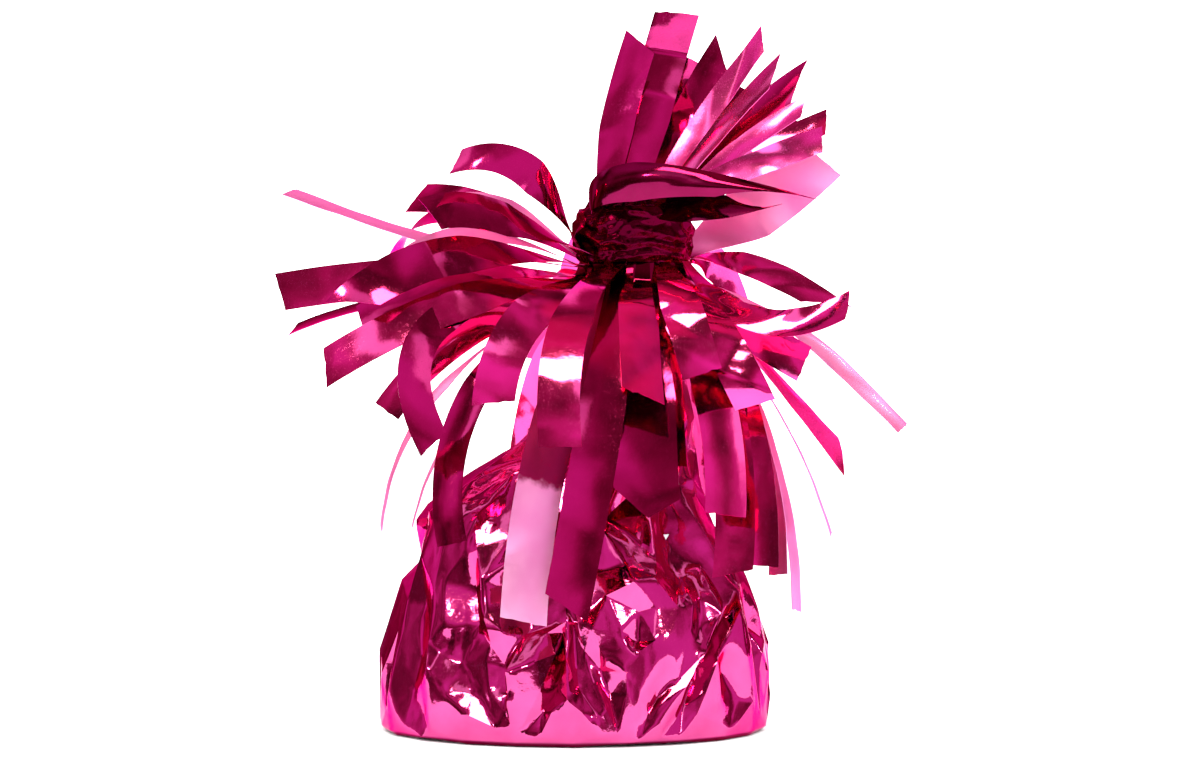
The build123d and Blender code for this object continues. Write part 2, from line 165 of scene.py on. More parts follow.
# Plume strips, front to back: foot column and depth, and the rest as above.
PLUME_STRIPS = [
    ((590, -42), (640, 180, -78), (768, 192, -112), 5, 0,
     {"width": 7.6, "narrow": 0.3, "cut": 55, "tone": "shade", "cup": -1.0}),
    ((642, -32), (690, 206, -64), (752, 206, -84), 10, 0,
     {"width": 7.0, "narrow": 0.3, "cut": -50, "tone": "shade"}),
    ((668, -27), (745, 168, -54), (822, 140, -58), 10, 0, {"width": 4.4, "tone": "light"}),
    ((606, -22), (618, 122, -18), (640, 42, -4), 12, 0, {"width": 5.8, "tone": "deep_shade"}),
    ((676, -20), (737, 150, -38), (803, 106, -38), 30, 0, {"width": 3.8, "cut": 40, "tone": "light"}),
    ((650, -12), (704, 118, -14), (762, 38, -4), 20, 0, {"width": 3.8, "cut": 45, "tone": "light"}),
    ((672, -4), (748, 158, -14), (826, 122, -4), 25, 0, {"width": 4.8, "cut": 30}),
    ((628, -2), (650, 108, 4), (677, 12, 26), 0, 0,
     {"width": 7.4, "cut": -12, "kinks": [(0.82, -2.6, 0.0)], "tone": "deep_shade"}),
    ((662, 3), (716, 134, 14), (774, 72, 6), 42, 0, {"width": 4.6, "cut": 50, "tone": "light"}),
    ((645, 8), (681, 127, 22), (722, 56, 20), 10, 0, {"width": 6.0, "cut": 40, "tone": "deep_shade"}),
    ((668, 14), (728, 138, 32), (797, 84, 30), 25, 5, {"width": 6.0, "cut": 50, "tone": "deep_shade"}),
    ((640, 21), (668, 130, 42), (700, 64, 44), 0, 0, {"tone": "deep_shade"}),
    ((676, 27), (740, 162, 54), (806, 132, 62), 15, 0, {}),
    ((655, 33), (700, 145, 64), (748, 92, 74), 0, 0, {"tone": "deep_shade"}),
    ((630, 33), (642, 140, 64), (655, 80, 70), 20, 0, {}),
    ((664, 39), (716, 152, 80), (766, 112, 90), -20, 0, {}),
]
PLUME_FRONT_COUNT, PLUME_FIRST_SEED = 11, 100


# Finishes
class Reading:
    """What a node's socket gives; sums on readings add Math nodes."""

    def __init__(self, finish, socket):
        self.finish = finish
        self.socket = socket

    def sum(self, operation, first, second):
        return self.finish.node("ShaderNodeMath", {"operation": operation}, {0: first, 1: second})

    def __add__(self, other):
        return self.sum("ADD", self, other)

    def __mul__(self, other):
        return self.sum("MULTIPLY", self, other)

    def __gt__(self, other):
        return self.sum("GREATER_THAN", self, other)

    def __lt__(self, other):
        return self.sum("LESS_THAN", self, other)

    __radd__ = __add__
    __rmul__ = __mul__


class Finish:
    """A node tree that one method adds nodes to."""

    def __init__(self, tree):
        self.tree = tree
        tree.nodes.clear()

    def node(self, kind, settings=(), sockets=(), output=0):
        made = self.tree.nodes.new(kind)
        for name, value in dict(settings).items():
            if name == "stops":
                ramp = made.color_ramp.elements
                while len(ramp) < len(value):
                    ramp.new(1.0)
                for stop, (position, tone) in zip(ramp, value):
                    stop.position = position
                    stop.color = (tone, tone, tone, 1.0)
            else:
                setattr(made, name, value)
        for name, value in dict(sockets).items():
            if isinstance(value, Reading):
                self.tree.links.new(value.socket, made.inputs[name])
            else:
                made.inputs[name].default_value = value
        return Reading(self, made.outputs[output]) if len(made.outputs) else made

    def axis(self, place, name):
        return self.node("ShaderNodeSeparateXYZ", {}, {0: place}, output=name)

    def between(self, share, first, second):
        """A colour between two, each of them a tone or a reading."""
        first, second = (tone if isinstance(tone, Reading) else (*tone, 1.0) for tone in (first, second))
        return self.node("ShaderNodeMix", {"data_type": "RGBA"}, {0: share, 6: first, 7: second}, output=2)

    def rise(self, reading, ends, levels=(0.0, 1.0)):
        """A smooth step from one level to the other as a reading goes from end to end."""
        return self.node("ShaderNodeMapRange", {"interpolation_type": "SMOOTHSTEP"}, {
            "Value": reading, "From Min": ends[0], "From Max": ends[1],
            "To Min": levels[0], "To Max": levels[1]})

    def speckle(self, place, size, detail=2.0, roughness=0.5):
        """Soft noise with patches of a size in metres."""
        return self.node("ShaderNodeTexNoise", {},
                         {"Vector": place, "Scale": 1 / size, "Detail": detail, "Roughness": roughness})


def new_finish(name):
    material = bpy.data.materials.new(name)
    material.use_nodes = True
    return material, Finish(material.node_tree)


# The deeper and the brighter tone of each film. All are one magenta film: the wrap and face tones are its own
# colour, the deep, shade and knot tones are painted shade, and the light, pale and half pale tones are
# painted highlight, the white room's reflection painted into the colour.
WRAP_TONES = (0.48, 0.044, 0.185), (0.70, 0.096, 0.310)
FACE_TONES = (0.78, 0.062, 0.295), (0.90, 0.088, 0.360)
DEEP_SHADE_TONES = (0.42, 0.018, 0.130), (0.58, 0.032, 0.195)
SHADE_TONES = (0.12, 0.002, 0.028), (0.24, 0.006, 0.065)
LIGHT_HIGHLIGHT_TONES = (0.82, 0.075, 0.34), (0.90, 0.12, 0.43)
PALE_HIGHLIGHT_TONES = (0.88, 0.26, 0.56), (0.95, 0.40, 0.72)
HALF_PALE_HIGHLIGHT_TONES = (0.95, 0.42, 0.72), (0.98, 0.56, 0.84)
KNOT_SHADE_TONES = (0.024, 0.0002, 0.0035), (0.12, 0.0008, 0.022)
# Painted shade: tones of the wrap under its foot, where the turned-under film lies in shade, of a strip at
# its root by the knot and of the half pale strip above its pale end, and the heights or shares of the length
# over which they give way to the film's own tones
WRAP_UNDER_SHADE, WRAP_UNDER_SHADE_ENDS = (0.16, 0.004, 0.030), (0.5 * MM, 1.0 * MM)
STRIP_ROOT_SHADE, STRIP_ROOT_SHADE_ENDS = (0.15, 0.001, 0.028), (0.07, 0.24)
HALF_PALE_UPPER_SHADE, HALF_PALE_SHADE_ENDS = (0.30, 0.010, 0.085), (0.685, 0.71)
SHADE_EDGE_WANDER = 0.06
# Film: sizes of its clouds of tone, scratches and worn patches, height of its crinkles, and its clear face
CLOUD_SIZE, SCRATCH_SIZE, WEAR_SIZE = 6 * MM, 0.35 * MM, 3 * MM
SCRATCH_LEVEL, SCRATCH_ROUGHNESS = 0.64, 0.08
CRINKLE_HEIGHT = 0.3 * MM
FILM_FACE, FILM_FACE_ROUGHNESS = 0.05, 0.03
FILM_EDGE_TINT = (1.0, 0.25, 0.50, 1.0)
STRIP_CRINKLE_SIZE, STRIP_BUMP = 3.0 * MM, 0.06
# Solid materials: height of the grain, its part in the tone and the roughness, and the clouds' size in grains
GRAIN_HEIGHT = 0.2 * MM
GRAIN_TONE_SHARE, CLOUD_TONE_SHARE, GRAIN_ROUGHNESS = 0.6, 0.4, 0.2
GRAINS_PER_CLOUD = 9


def film_finish(name, tones, roughness, scuff, crinkle=STRIP_CRINKLE_SIZE, bump=STRIP_BUMP, face=FILM_FACE,
                under=None, root=None, shade_ends=STRIP_ROOT_SHADE_ENDS):
    """Magenta metallised film: a dyed mirror under a thin clear face, with scuffs, fine crinkles and painted
    shade where asked.
    """
    material, film = new_finish(name)
    place = film.node("ShaderNodeTexCoord", output="Object")
    cloud = film.speckle(place, CLOUD_SIZE, detail=3.0)
    fine = film.speckle(place, crinkle, detail=3.0, roughness=0.6)
    scratch = film.speckle(place, SCRATCH_SIZE) > SCRATCH_LEVEL
    worn = film.speckle(place, WEAR_SIZE, detail=4.0, roughness=0.7)
    height = film.node("ShaderNodeBump", {}, {"Strength": bump, "Distance": CRINKLE_HEIGHT, "Height": fine})
    colour = film.between(cloud, *tones)
    # Painted shade: the colour darkens to the under tone below the foot's edge, where the turned-under film
    # lies in shade
    if under:
        colour = film.between(film.rise(film.axis(place, "Z"), WRAP_UNDER_SHADE_ENDS), under, colour)
    # Painted shade: the colour darkens towards a strip's root by the knot, and for the half pale strip above
    # its pale end
    if root:
        along = film.axis(film.node("ShaderNodeTexCoord", output="UV"), "X")
        colour = film.between(film.rise(along + SHADE_EDGE_WANDER * fine, shade_ends), root, colour)
    surface = film.node("ShaderNodeBsdfPrincipled", {}, {
        "Base Color": colour,
        "Metallic": 1.0,
        "Roughness": roughness + scuff * worn * worn + SCRATCH_ROUGHNESS * scratch,
        "Specular Tint": FILM_EDGE_TINT,
        "Coat Weight": face,
        "Coat Roughness": FILM_FACE_ROUGHNESS,
        "Normal": height,
    })
    film.node("ShaderNodeOutputMaterial", {}, {"Surface": surface})
    return material


def plain_finish(name, dark, light, grain, roughness, metallic, bump):
    """A solid material with grain in its colour and its face."""
    material, solid = new_finish(name)
    place = solid.node("ShaderNodeTexCoord", output="Object")
    flecks = solid.speckle(place, grain, detail=5.0, roughness=0.65)
    cloud = solid.speckle(place, GRAINS_PER_CLOUD * grain, detail=3.0)
    height = solid.node("ShaderNodeBump", {}, {"Strength": bump, "Distance": GRAIN_HEIGHT, "Height": flecks})
    surface = solid.node("ShaderNodeBsdfPrincipled", {}, {
        "Base Color": solid.between(GRAIN_TONE_SHARE * flecks + CLOUD_TONE_SHARE * cloud, dark, light),
        "Metallic": metallic,
        "Roughness": roughness + GRAIN_ROUGHNESS * flecks,
        "Normal": height,
    })
    solid.node("ShaderNodeOutputMaterial", {}, {"Surface": surface})
    return material


# The wrap film, with painted shade under its foot
wrap_finish = film_finish("wrap_film", WRAP_TONES, roughness=0.04, scuff=0.10, crinkle=1.6 * MM, bump=0.08,
                          under=WRAP_UNDER_SHADE)
# Strip films: face is the film's own colour, deep and shade are painted shade, light, pale and half pale are
# painted highlight. Each darkens to painted shade at its root, the half pale one above its pale end instead.
strip_finishes = {
    "face": film_finish("strip_film", FACE_TONES, roughness=0.05, scuff=0.12, root=STRIP_ROOT_SHADE),
    "deep_shade": film_finish("deep_shade_strip_film", DEEP_SHADE_TONES, roughness=0.05, scuff=0.12, root=STRIP_ROOT_SHADE),
    "shade": film_finish("shaded_strip_film", SHADE_TONES, roughness=0.05, scuff=0.12, root=STRIP_ROOT_SHADE),
    "light": film_finish("light_highlight_strip_film", LIGHT_HIGHLIGHT_TONES, roughness=0.16, scuff=0.14, root=STRIP_ROOT_SHADE),
    "pale": film_finish("pale_highlight_strip_film", PALE_HIGHLIGHT_TONES, roughness=0.40, scuff=0.14, root=STRIP_ROOT_SHADE),
    "half_pale_highlight": film_finish("half_pale_highlight_strip_film", HALF_PALE_HIGHLIGHT_TONES, roughness=0.36, scuff=0.14,
                             root=HALF_PALE_UPPER_SHADE, shade_ends=HALF_PALE_SHADE_ENDS),
}
# Painted shade: the knot's tubes are the same film in near-black tones, standing in for the shade inside the
# crushed knot
knot_shade_finish = film_finish("shaded_crushed_film", KNOT_SHADE_TONES, roughness=0.16, scuff=0.14, crinkle=1.2 * MM, bump=0.20,
                          face=0.0)
card_finish = plain_finish("grey_card", (0.30, 0.26, 0.20), (0.52, 0.47, 0.38),
                           grain=0.5 * MM, roughness=0.7, metallic=0.0, bump=0.3)
tub_finish = plain_finish("clear_grey_plastic", (0.42, 0.44, 0.45), (0.58, 0.60, 0.61),
                          grain=2 * MM, roughness=0.2, metallic=0.0, bump=0.05)
cement_finish = plain_finish("cast_cement", (0.26, 0.25, 0.24), (0.48, 0.47, 0.44),
                             grain=0.7 * MM, roughness=0.75, metallic=0.0, bump=0.6)
wire_finish = plain_finish("tie_wire_steel", (0.40, 0.40, 0.42), (0.62, 0.62, 0.63),
                           grain=0.3 * MM, roughness=0.25, metallic=1.0, bump=0.1)


# Shaping
SEAM_GAP = 0.002
# To which side of a shaped mesh the film's thickness goes
TO_BOTH_SIDES, INWARDS = 0.0, -1.0
# Part of the shorter folds in crumpled film
SHORT_FOLD_SHARE = 0.5


def new_grid(name, columns, rows):
    """A flat grid primitive, ready to be shaped, with its corners' shares along and across."""
    bpy.ops.object.select_all(action="DESELECT")
    bpy.ops.mesh.primitive_grid_add(x_subdivisions=columns, y_subdivisions=rows, size=1.0)
    piece = bpy.context.object
    piece.name = piece.data.name = name
    corners = np.empty(3 * len(piece.data.vertices))
    piece.data.vertices.foreach_get("co", corners)
    corners = corners.reshape(-1, 3)
    return piece, corners[:, 0] + 0.5, corners[:, 1] + 0.5


def shape_grid(piece, places):
    """Move a mesh's corners to places in millimetres."""
    piece.data.vertices.foreach_set("co", (np.asarray(places) * MM).ravel())
    piece.data.update()


def apply_modifier(piece, kind, **settings):
    bpy.context.view_layer.objects.active = piece
    modifier = piece.modifiers.new(kind.title(), kind)
    for name, value in settings.items():
        setattr(modifier, name, value)
    bpy.ops.object.modifier_apply(modifier=modifier.name)


def edit_mesh(piece, *steps):
    """Run edit-mode operators on the whole of a piece."""
    bpy.ops.object.select_all(action="DESELECT")
    piece.select_set(True)
    bpy.context.view_layer.objects.active = piece
    bpy.ops.object.mode_set(mode="EDIT")
    bpy.ops.mesh.select_all(action="SELECT")
    for step in steps:
        step()
    bpy.ops.object.mode_set(mode="OBJECT")


def close_seam():
    bpy.ops.mesh.remove_doubles(threshold=SEAM_GAP * MM)


def face_outwards():
    bpy.ops.mesh.normals_make_consistent(inside=False)


def film_piece(piece, finish, offset, smooth_angle):
    """Give a shaped mesh its film thickness, its shading and its finish."""
    apply_modifier(piece, "SOLIDIFY", thickness=FILM_THICKNESS * MM, offset=offset)
    bpy.ops.object.select_all(action="DESELECT")
    piece.select_set(True)
    bpy.ops.object.shade_smooth_by_angle(angle=math.radians(smooth_angle))
    piece.data.materials.append(finish)
    return piece


def polar(angle, radius, height, centre_x=0.0):
    turn = math.radians(angle)
    return Vector((centre_x + radius * math.cos(turn), radius * math.sin(turn), height))


def seen(column, row, depth):
    """The point that the front view shows at a pixel column and row, at a depth in pixels."""
    spread = 1 + depth * PIXEL / VIEW_DISTANCE
    across = (column - EYE_COLUMN) * spread - (NECK_COLUMN - EYE_COLUMN)
    up = (EYE_ROW - row) * spread - (EYE_ROW - HEADER_TOP_ROW)
    return Vector((NECK_OFFSET + across * PIXEL, depth * PIXEL, HEADER_TOP + up * PIXEL))


def crumpled_at(spots, level, reaches):
    """Small sharp folds at spots, from noise of a longer and a shorter reach."""
    longer, shorter = reaches
    return np.array([level - abs(noise.noise(spot / longer))
                     - SHORT_FOLD_SHARE * abs(noise.noise(spot / shorter)) for spot in spots])


# Strips
def turned_across(foot, middle, tip, turn):
    """A strip's width direction at its middle, turned from flat-on to the front view."""
    along = (tip - foot).normalized()
    flat = along.cross(middle - EYE).normalized()
    if abs(flat.z) > SIDEWAYS_STEEPNESS:
        turn = math.copysign(turn + STRIP_LIFT, -flat.z)
    return Matrix.Rotation(math.radians(turn), 3, along) @ flat


def place_at(foot, control, tip, at):
    """A point of the curve from a strip's foot to its tip."""
    rest = 1 - at
    return foot * rest**2 + control * (2 * rest * at) + tip * at**2


def shape_strip(name, seed, route, foot_across, foot_share, turn, twist, style):
    """A film strip from its root and foot through its middle to its cut tip, cupped and creased."""
    draw = random.Random(seed)
    root, foot, middle, tip = route
    width = style.get("width", STRIP_WIDTH)
    cut = style.get("cut", draw.uniform(-CUT_SLANT, CUT_SLANT))
    cup = style.get("cup", draw.choice((-1, 1)) * draw.uniform(*CUP_DEPTHS))
    point = style.get("point", 0.0)
    narrow = style.get("narrow", 1.0)
    kinks = style.get("kinks")
    if kinks is None:
        kinks = [(draw.uniform(*KINK_PLACES), draw.uniform(-KINK_SIZE, KINK_SIZE),
                  draw.uniform(-KINK_SKEW, KINK_SKEW)) for _ in range(draw.randint(*KINK_COUNTS))]
    control = middle * 2 - (foot + tip) / 2
    length = (middle - foot).length + (tip - middle).length
    square = turned_across(foot, middle, tip, turn)
    foot_across = foot_across or square
    if square.dot(foot_across) < 0:
        foot_across = -foot_across
    piece, shares, sides = new_grid(name, STRIP_STATIONS, STRIP_LINES)
    places = []
    offset = Vector((seed * CRINKLE_STEP_ALONG, seed * CRINKLE_STEP_ACROSS, 0))
    for share, side in zip(shares, sides):
        side = 2 * side - 1
        reach = math.tan(math.radians(cut)) * side * width / 2 - point * abs(side)
        reach += TIP_RAGGEDNESS * noise.noise(Vector((side * TIP_TEETH, seed, 0)))
        at = max(0.0, share * (1 + STRIP_ROOT_SHARE) - STRIP_ROOT_SHARE) + reach / length * share**3
        rooted = max(0.0, 1 - share / STRIP_ROOT_SHARE)
        place = place_at(foot, control, tip, at).lerp(root, rooted)
        along = ((control - foot) * (1 - at) + (tip - control) * at).normalized()
        settled = min(1.0, max(0.0, at / STRIP_TAPER_SHARE))
        across = Matrix.Rotation(math.radians(twist * at), 3, along) @ square
        across = across * settled + foot_across * (1 - settled)
        across = (across - along * across.dot(along)).normalized()
        half_width = width / 2 * (foot_share + (1 - foot_share) * settled) * (1 - (1 - narrow) * at * at)
        lift = cup * (side * side - CUP_LEVEL)
        for where, size, skew in kinks:
            lift += size * max(0.0, 1 - abs(share - where - skew * side) / KINK_REACH)
        spot = offset + Vector((at * length, side * half_width, 0))
        for size, crinkle in STRIP_CRINKLES:
            lift += size * noise.noise(spot / crinkle)
        places.append(place + across * (half_width * side) + along.cross(across) * (lift * settled))
    shape_grid(piece, places)
    film_piece(piece, strip_finishes[style.get("tone", "face")], TO_BOTH_SIDES, STRIP_SMOOTH_ANGLE)
    return piece, place_at(foot, control, tip, STRIP_FREE_SHARE)


def make_skirt():
    seed = 0
    for tuft, strips in SKIRT_STRIPS.items():
        for number, (foot_place, middle, tip, turn, twist, style) in enumerate(strips, 1):
            seed += 1
            azimuth, height_share = foot_place
            foot = polar(azimuth, SKIRT_FOOT_RADIUS, HEADER_BASE + height_share * HEADER_HEIGHT, NECK_OFFSET)
            root = polar(azimuth, SKIRT_ROOT_RADIUS, SKIRT_ROOT_HEIGHT, NECK_OFFSET)
            route = (root, foot, seen(*middle), seen(*tip))
            piece, free = shape_strip(f"skirt_{tuft}_film_{number}", seed, route, polar(azimuth + 90, 1, 0),
                                      SKIRT_FOOT_SHARE, turn, twist, style)
            node = "skirt_back_rear_strips" if tuft == "back" else f"skirt_{tuft}_strip_{number}"
            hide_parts(node)
            free * MM
            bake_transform(piece)


def make_plume():
    for number, (foot_place, middle, tip, turn, twist, style) in enumerate(PLUME_STRIPS, 1):
        column, depth = foot_place
        foot = Vector((NECK_OFFSET + (column - NECK_COLUMN) * PIXEL, depth * PIXEL, PLUME_FOOT_HEIGHT))
        root = foot - Vector((0, 0, PLUME_ROOT_DEPTH))
        route = (root, foot, seen(*middle), seen(*tip))
        piece, _ = shape_strip(f"plume_film_{number}", PLUME_FIRST_SEED + number, route, None,
                               PLUME_FOOT_SHARE, turn, twist, style)
        node = "plume_rear_strips" if number > PLUME_FRONT_COUNT else f"plume_strip_{number}"
        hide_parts(node)
        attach(piece, "plume")


# Wrap and stem, one sheet of film
# Radius, height and lean along the sheet, from the middle of its foot to the neck
WRAP_PATH = [
    (0.0, 0.15, 0.0), (31.7, 0.12, 0.0), (32.4, 0.8, 0.0), (32.6, 2.6, 0.0),
    (32.5, 5.2, 0.0), (32.3, 9.0, 0.1), (31.6, 15.0, 0.3), (30.4, 20.0, 0.4),
    (28.9, 25.4, 0.5), (27.3, 30.5, 0.7), (25.2, 35.5, 1.0), (22.7, 39.2, 1.9),
    (19.5, 42.3, 3.4), (16.4, 44.9, 4.8), (13.4, 47.8, 6.2), (11.7, 51.0, 7.2),
    (10.3, 55.1, 8.2), (8.9, 59.2, 9.0), (7.8, 63.2, 9.6), (6.9, 67.7, 10.0),
    (6.2, 73.0, 10.0), (6.1, 80.0, 10.0),
]
# Which point of the path is the foot's edge, and how many stations there are from it up
WRAP_PATH_FOOT, WRAP_STATIONS, WRAP_SMOOTH_PASSES = 2, 160, 8
# Where the search for a pixel's place on the wrap's front starts, and how often it is bettered
FRONT_START, FRONT_ROUNDS = -25.0, 6
# Creases of the front as the view shows them: column, row and how far each corner stands out, in millimetres
FRONT_CREASES = [
    [(422, 553, 0.8), (405, 600, 0.6), (396, 650, 0.6), (392, 700, 0.4), (390, 733, 0.0)],
    [(422, 553, 0.8), (413, 600, -0.9), (409, 650, -1.2), (405, 690, -1.0), (402, 728, 0.0)],
    [(405, 690, -1.0), (420, 712, -0.7), (430, 731, 0.1)],
    [(437, 545, 1.0), (431, 590, 0.8), (427, 640, 0.9), (427, 672, 0.9), (430, 731, 0.1)],
    [(427, 672, 0.9), (445, 694, 0.5), (470, 715, 0.3), (497, 728, 0.0)],
    [(427, 672, 0.9), (452, 664, -1.3), (470, 690, -1.6), (486, 712, -1.0), (497, 728, 0.0)],
    [(443, 548, 1.1), (441, 580, 0.9), (438, 625, 0.7), (434, 652, -0.2), (452, 664, -1.3)],
    [(443, 548, 1.1), (463, 548, 0.4), (478, 548, 1.4)],
    [(463, 548, 0.4), (465, 585, -0.9), (468, 620, -1.0), (452, 664, -1.3)],
    [(478, 548, 1.4), (481, 580, 1.5), (480, 612, 1.5), (487, 629, 1.5), (502, 631, 1.1)],
    [(502, 631, 1.1), (486, 641, 0.2), (480, 660, -0.4), (484, 690, -0.7), (497, 728, 0.0)],
    [(502, 631, 1.1), (500, 665, -0.9), (502, 695, -1.0), (506, 713, -0.1)],
    [(500, 590, -0.6), (520, 630, -0.9), (507, 672, 1.5)],
    [(507, 672, 1.5), (530, 664, 1.8), (556, 654, 1.9), (545, 632, 0.8)],
    [(507, 672, 1.5), (508, 700, 0.7), (511, 726, 0.0)],
    [(556, 654, 1.9), (541, 690, 1.0), (521, 728, 0.0)],
    [(562, 630, 0.3), (563, 660, -1.2), (556, 690, -1.2), (542, 712, -0.6), (523, 734, 0.0)],
    [(566, 620, 1.0), (566, 660, 0.9), (567, 700, 0.8), (569, 738, 0.1)],
    [(567, 700, 0.8), (552, 712, 0.4), (540, 736, 0.0)],
    [(567, 700, 0.8), (582, 712, 0.5), (598, 736, 0.0)],
    [(573, 622, 0.0), (574, 660, -1.0), (580, 690, -1.0), (600, 719, -0.1), (618, 733, 0.0)],
    [(578, 620, 0.6), (585, 650, -0.2), (594, 680, -0.3), (606, 708, -0.1), (618, 733, 0.0)],
    [(578, 620, 0.6), (592, 626, 0.9), (600, 645, 0.3), (610, 664, 0.4), (626, 672, 0.9)],
    [(600, 645, 0.3), (603, 670, -1.2), (612, 694, -1.3), (618, 733, 0.0)],
    [(594, 571, 0.6), (606, 595, 1.7), (622, 630, 1.4), (632, 655, 1.2), (626, 672, 0.9),
     (627, 694, 0.5), (618, 733, 0.0)],
    [(594, 571, 0.6), (632, 583, 2.6), (656, 580, 1.8), (663, 556, 0.2)],
    [(632, 583, 2.6), (628, 562, 1.0), (645, 535, -0.4)],
    [(632, 583, 2.6), (641, 610, 0.9), (640, 640, -0.2), (632, 655, 1.2)],
    [(656, 580, 1.8), (657, 606, 1.5), (680, 608, 1.6), (695, 603, 1.3)],
    [(657, 606, 1.5), (655, 640, 1.8), (641, 690, 0.5), (633, 737, 0.0)],
    [(655, 640, 1.8), (672, 648, 1.9), (690, 640, 1.6)],
    [(663, 556, 0.2), (680, 575, -0.6), (692, 590, 0.8), (695, 603, 1.3)],
    [(695, 603, 1.3), (690, 640, 1.6), (679, 680, 0.6), (660, 704, 0.4), (641, 738, 0.0)],
    [(679, 680, 0.6), (665, 690, -0.8), (648, 716, -0.4), (641, 738, 0.0)],
    [(716, 589, 0.9), (721, 612, 1.7), (702, 652, 1.9), (682, 686, 1.6), (662, 716, 0.8), (644, 739, 0.0)],
    [(702, 652, 1.9), (708, 625, 0.2), (706, 595, 0.5)],
    [(735, 600, 0.2), (724, 635, -1.0), (708, 664, -1.3), (694, 690, -1.2), (676, 718, -0.3),
     (660, 737, 0.0)],
    [(717, 660, 1.1), (706, 692, 0.4), (696, 714, 0.2), (680, 735, 0.0)],
    [(717, 660, 1.1), (700, 682, -1.3), (688, 706, -1.0), (680, 735, 0.0)],
    [(738, 580, 1.2), (737, 608, 1.9), (726, 640, 1.3), (717, 660, 1.1)],
    [(737, 608, 1.9), (745, 660, 1.2), (750, 700, 0.6), (757, 725, 0.0)],
    [(717, 660, 1.1), (731, 664, -1.1), (740, 700, -1.1), (735, 727, 0.0)],
    [(717, 660, 1.1), (722, 700, 0.2), (728, 727, 0.0)],
    [(745, 580, 0.5), (755, 620, -0.8), (760, 660, -0.8), (764, 700, 0.0)],
]
FRONT_FOLD_SCALE = 1.25
# Leaf folds of the sides and back: azimuth and height of the tip, height of the top, half width in degrees,
# depth in millimetres
SIDE_LEAVES = [
    (341, 3.4, 24, 5, 1.5), (354, 1.8, 15, 5, 1.3), (9, 2.4, 27, 5, 1.7), (25, 4.6, 19, 6, 1.4),
    (44, 1.6, 29, 8, 2.0), (61, 3.8, 15, 5, 1.2), (77, 2.2, 25, 6, 1.8), (104, 3.6, 20, 6, 1.4),
    (121, 1.5, 30, 9, 2.1), (140, 4.8, 16, 5, 1.3), (155, 2.0, 27, 6, 1.8), (170, 3.2, 18, 5, 1.4),
    (184, 1.8, 25, 5, 1.6), (198, 4.0, 17, 4, 1.3),
]
# A leaf's corners: sideways in half widths, up in shares of the top's height and out in shares of the depth.
# A pair of values is drawn between.
LEAF_LEFT, LEAF_LEFT_HEIGHTS, LEAF_LEFT_OUT = -1.0, (0.5, 0.75), 0.8
LEAF_RIGHT, LEAF_RIGHT_HEIGHTS, LEAF_RIGHT_OUT = 0.9, (0.4, 0.7), 0.7
LEAF_VALLEYS, LEAF_VALLEY_HEIGHTS, LEAF_VALLEY_OUT = (-0.3, 0.4), (0.45, 0.65), -1.0
LEAF_CROWNS, LEAF_CROWN_OUT = (-0.5, 0.6), 0.4
# Places of the front where the film is crushed small: column, row and reach in millimetres
CRUSHED_SPOTS = [
    (445, 640, 3.4), (562, 624, 2.6), (690, 566, 4.0), (582, 732, 2.2), (480, 515, 4.0), (640, 425, 4.0),
]
# Rows of corners under the foot, as shares of the way out to its edge, and how many corners a row has
FOOT_ROWS = ((0.0, 6), (0.5, 9))
FOOT_EDGE_CORNERS = 22
# Heights of the rows of corners up the wall, how many corners a row has, how far they stand out and wander,
# and how clear they keep of the creases and leaves. The lowest row is smoother.
WALL_ROWS = (4.9, 10.0, 16.0, 22.0, 28.0, 33.5, 38.0)
WALL_CORNERS, WALL_CORNER_GAP = 26, 4.2
WALL_CORNER_OUT, WALL_LEAST_SHARE, WALL_JITTER = 1.5, 0.35, 0.4
LOWEST_OUT, LOWEST_JITTER = 0.4, 0.25
ROW_WANDER = 4
# The front and back of the wall lean in between these heights
WALL_SINK, WALL_SINK_ROWS, WALL_SINK_POWER = 2.2, (5.0, 18.0, 34.0, 42.0), 0.5
# The right shoulder is lower than the left
LEFT_SHOULDER_OUT, RIGHT_SHOULDER_IN, SHOULDER_POWER = 1.8, 3.2, 1.5
SHOULDER_HEIGHT, SHOULDER_REACH = 38, 8
# Pleats that gather to the neck: heights of their rows and how far their ridges and valleys stand out
PLEAT_ROWS = ((42.0, 0.9), (46.5, 1.3), (52.0, 1.5), (58.5, 1.4), (66.0, 1.1), (77.0, 0.3))
PLEAT_CORNERS, PLEAT_SHARES, PLEAT_JITTER = 28, (0.6, 1.2), 0.19
# The flat net of the sheet is as wide as a turn at this radius
WRAP_TURN = 28.0
WRAP_SEAM = 2 * math.pi * WRAP_TURN
NET_TOLERANCE = 1e-4
# How sharp a fold may be that is not one of the creases
FOLD_SHARPNESS = (0.0, 0.2, 0.5, 1.0)
LEAST_HEIGHT = 0.12
WRAP_LEVELS, WRAP_SMOOTH_ANGLE = 3, 30
# Fine wrinkles run up the wall: their width as a share of their length, their level and reaches, their size,
# the height that they start at, and their size where the film is crushed
WRINKLE_DRAW = 0.4
WRINKLE_LEVEL, WRINKLE_REACHES = 0.37, (2.6, 1.4)
WRINKLE_SIZE, WRINKLE_START, CRUSHED_SIZE = 0.13, 3, 0.5
WRAP_SEED, FOLD_SEED = 11, 23


def smoothed(values, passes):
    values = np.asarray(values, float)
    for _ in range(passes):
        values[1:-1] = (values[:-2] + 2 * values[1:-1] + values[2:]) / 4
    return values


